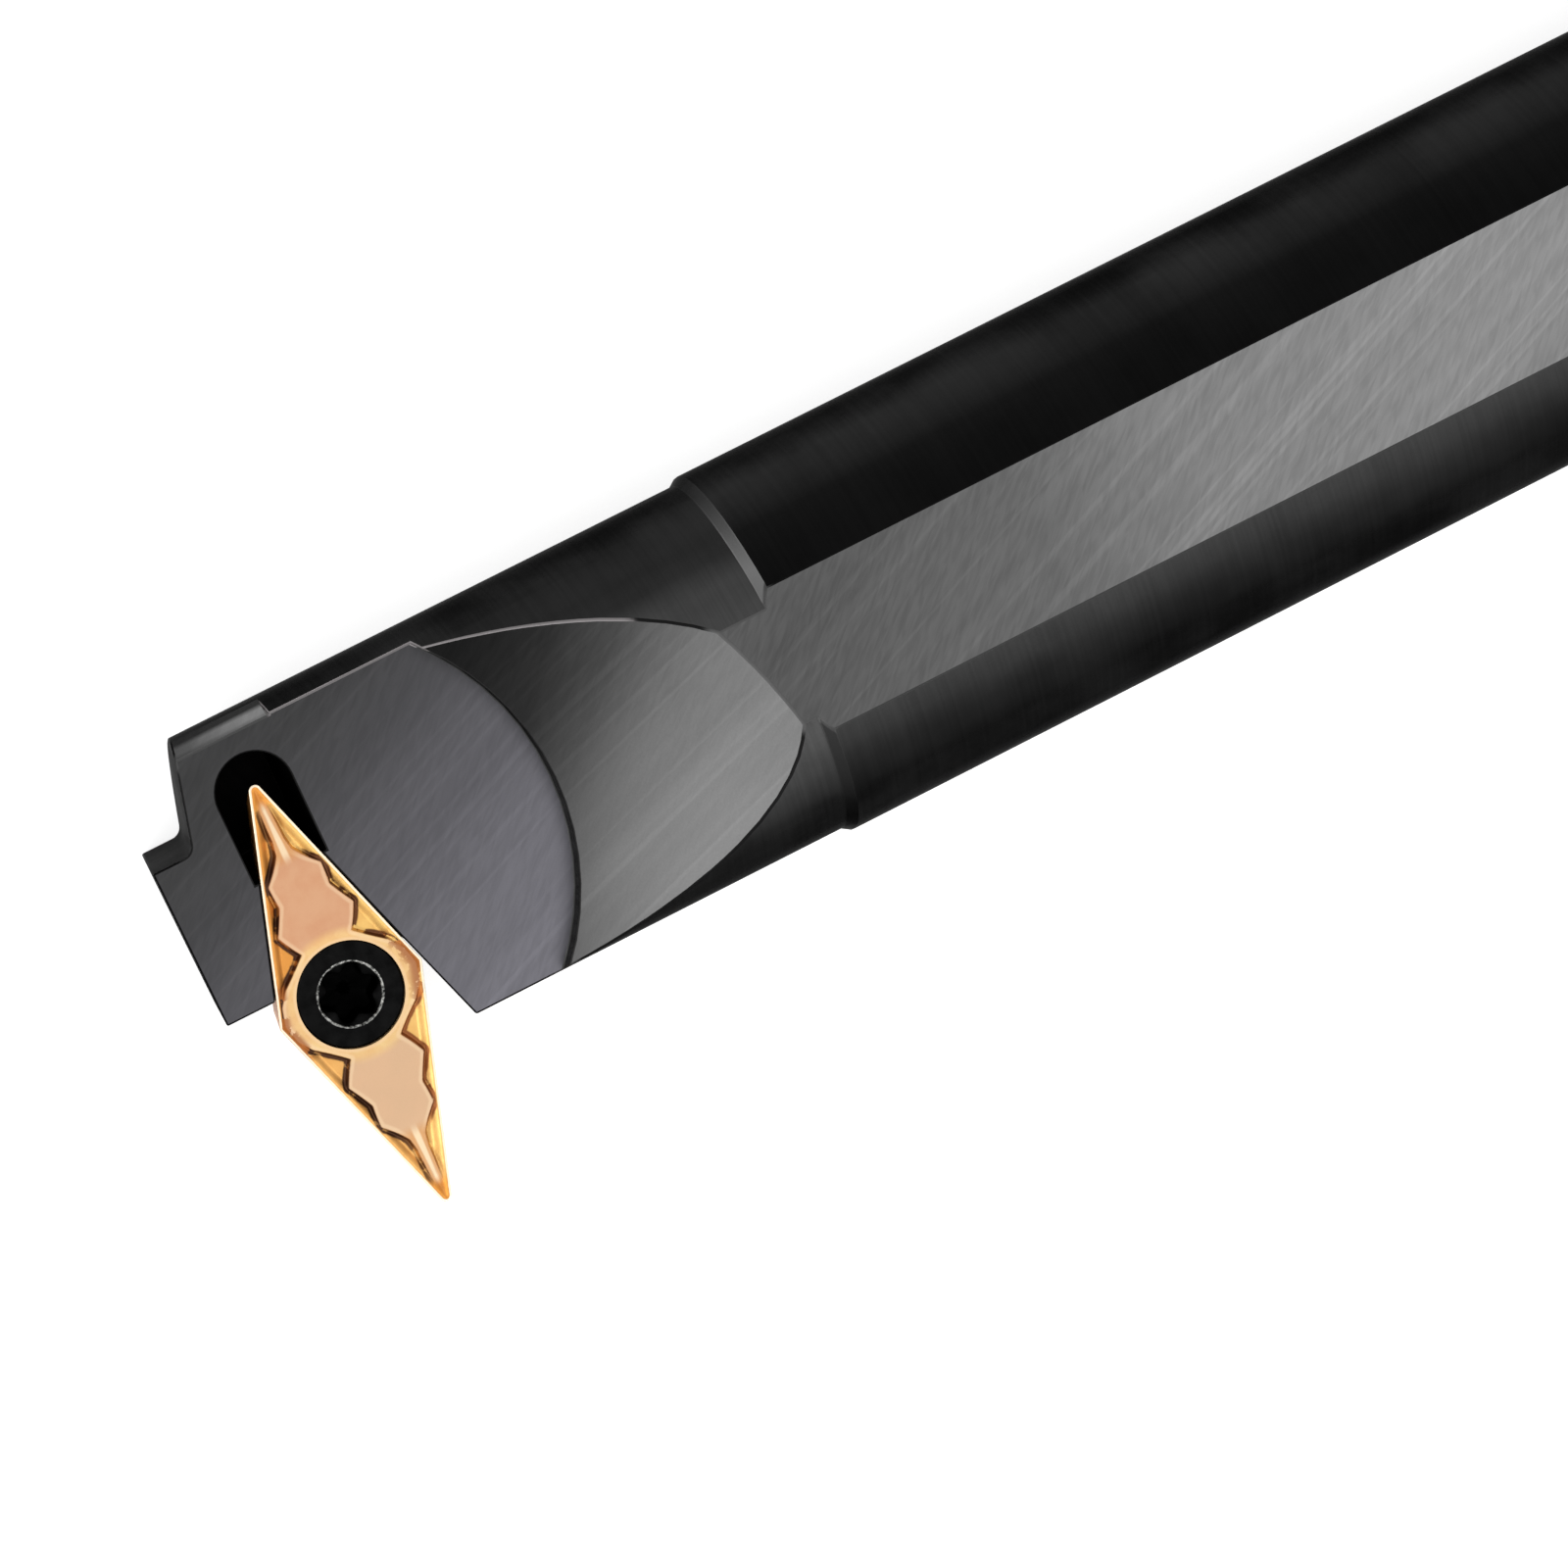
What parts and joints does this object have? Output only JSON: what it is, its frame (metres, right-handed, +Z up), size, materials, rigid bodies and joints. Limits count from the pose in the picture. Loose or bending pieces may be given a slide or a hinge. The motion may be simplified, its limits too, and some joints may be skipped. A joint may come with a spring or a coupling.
{
  "type": "boring bar",
  "caption": "Round steel boring bar with milled flats, whose scooped head clamps a slim diamond-shaped carbide insert square to the bar, for turning inside bores.",
  "frame": {"origin": "centre of the shank's rear end face, on the bar's axis", "axes": "+X along the bar from its rear end to the head, +Y towards the cutting tip, +Z up out of the insert's face, with the flats above and below"},
  "size_m": [0.25, 0.0345, 0.023],
  "materials": {
    "black_steel": "satin",
    "coated_carbide": "satin",
    "screw_steel": "satin"
  },
  "bodies": {
    "root": {"bar": "black_steel", "insert": "coated_carbide", "insert_screw": "screw_steel"}
  },
  "joints": []
}
